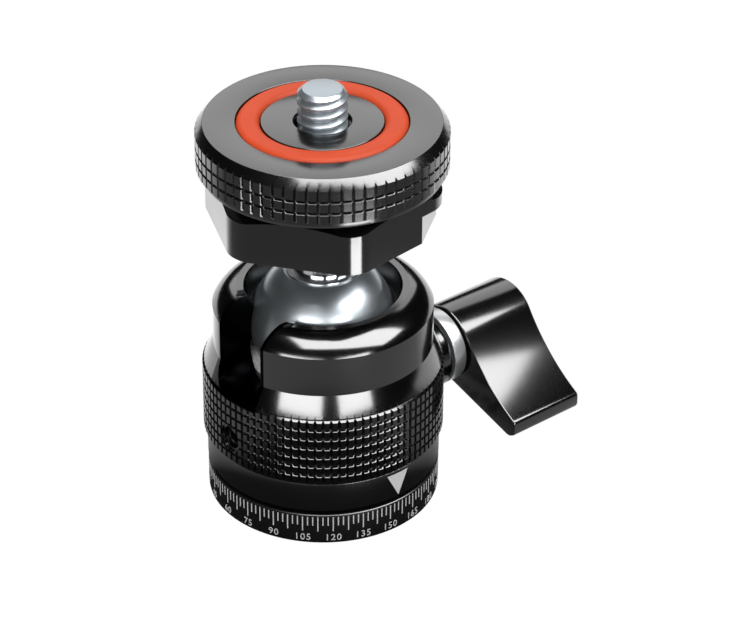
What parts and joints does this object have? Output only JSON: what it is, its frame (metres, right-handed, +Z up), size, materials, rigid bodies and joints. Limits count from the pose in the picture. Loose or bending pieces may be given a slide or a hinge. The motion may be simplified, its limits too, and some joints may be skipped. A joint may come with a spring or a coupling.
{
  "type": "tripod ball head",
  "caption": "Small camera ball head: panning base with degree scale, black ball housing with drop notch, wing clamp knob, hexagonal platform and knurled locking disc with an orange grip ring.",
  "frame": {"origin": "middle of the base's flat underside, at the mouth of the tripod socket", "axes": "+Z up the pan axis towards the camera stud; +X along the clamp knob's screw, away from the housing; the drop notch opens towards -X"},
  "size_m": [0.0484, 0.0318, 0.058],
  "materials": {
    "base_finish": "satin black anodised aluminium",
    "collar_finish": "satin black anodised aluminium",
    "housing_finish": "gloss black anodised aluminium",
    "knob_finish": "gloss black",
    "platform_finish": "satin black anodised aluminium",
    "disc_finish": "satin dark grey anodised aluminium",
    "mark_white": "white paint fill",
    "grip_rubber": "orange rubber",
    "ball_steel": "fine satin",
    "stem_chrome": "polished",
    "stud_steel": "bright",
    "collar_silver": "bright",
    "dark_steel": "black oxide",
    "bare_steel": "plain",
    "cup_aluminium": "plain turned",
    "seat_plastic": "low-friction plastic"
  },
  "bodies": {
    "base": {"pan_base": "base_finish", "thread_insert": "bare_steel", "retaining_ring": "bare_steel", "pan_washer": "seat_plastic"},
    "housing_group": {"housing": "housing_finish", "index_collar": "collar_finish", "collar_screws": "dark_steel", "wave_washer": "bare_steel", "drag_screw": "dark_steel"},
    "cup": {"pressure_cup": "cup_aluminium"},
    "clamp_slide": {"clamp_collar": "collar_silver"},
    "clamp_knob": {"wing_knob": "knob_finish", "clamp_screw": "bare_steel", "knob_pin": "bare_steel"},
    "lean_ring": {"friction_ring": "seat_plastic"},
    "tilt_core": {"stem_bolt": "bare_steel"},
    "ball_group": {"ball": "ball_steel", "hex_platform": "platform_finish", "camera_stud": "stud_steel", "platform_set_screw": "dark_steel"},
    "disc_slide": {"disc_washer": "seat_plastic"},
    "disc": {"locking_disc": "disc_finish", "grip_ring": "grip_rubber"}
  },
  "joints": [
    {"name": "pan", "type": "hinge", "parent": "base", "child": "housing_group", "pos_m": [0, 0, 0], "axis": [0, 0, 1], "continuous": true},
    {"name": "cup_lift", "type": "slide", "parent": "housing_group", "child": "cup", "axis": [0, 0, -1], "range_m": [0, 0.00015]},
    {"name": "clamp_travel", "type": "slide", "parent": "housing_group", "child": "clamp_slide", "axis": [1, 0, 0], "range_m": [0, 0.0004]},
    {"name": "clamp_turn", "type": "hinge", "parent": "clamp_slide", "child": "clamp_knob", "pos_m": [0.0268, 0, 0.0128], "axis": [1, 0, 0], "range_deg": [0, 180]},
    {"name": "lean_direction", "type": "hinge", "parent": "housing_group", "child": "lean_ring", "pos_m": [0, 0, 0.0245], "axis": [0, 0, 1], "range_deg": [-180, 0]},
    {"name": "ball_lean", "type": "hinge", "parent": "lean_ring", "child": "tilt_core", "pos_m": [0, 0, 0.0245], "axis": [0, -1, 0], "range_deg": [-40, 85]},
    {"name": "ball_spin", "type": "hinge", "parent": "tilt_core", "child": "ball_group", "pos_m": [0, 0, 0.0245], "axis": [0, 0, 1], "continuous": true},
    {"name": "disc_lift", "type": "slide", "parent": "ball_group", "child": "disc_slide", "axis": [0, 0, 1], "range_m": [0, 0.00191]},
    {"name": "disc_turn", "type": "hinge", "parent": "disc_slide", "child": "disc", "pos_m": [0, 0, 0.0505], "axis": [0, 0, 1], "range_deg": [0, 540]}
  ],
  "couplings": [
    {"joint": "clamp_turn", "follows": "clamp_travel", "rad_per_m": 7853.9},
    {"joint": "cup_lift", "follows": "clamp_travel", "ratio": 0.375},
    {"joint": "disc_turn", "follows": "disc_lift", "rad_per_m": 4947.3}
  ]
}
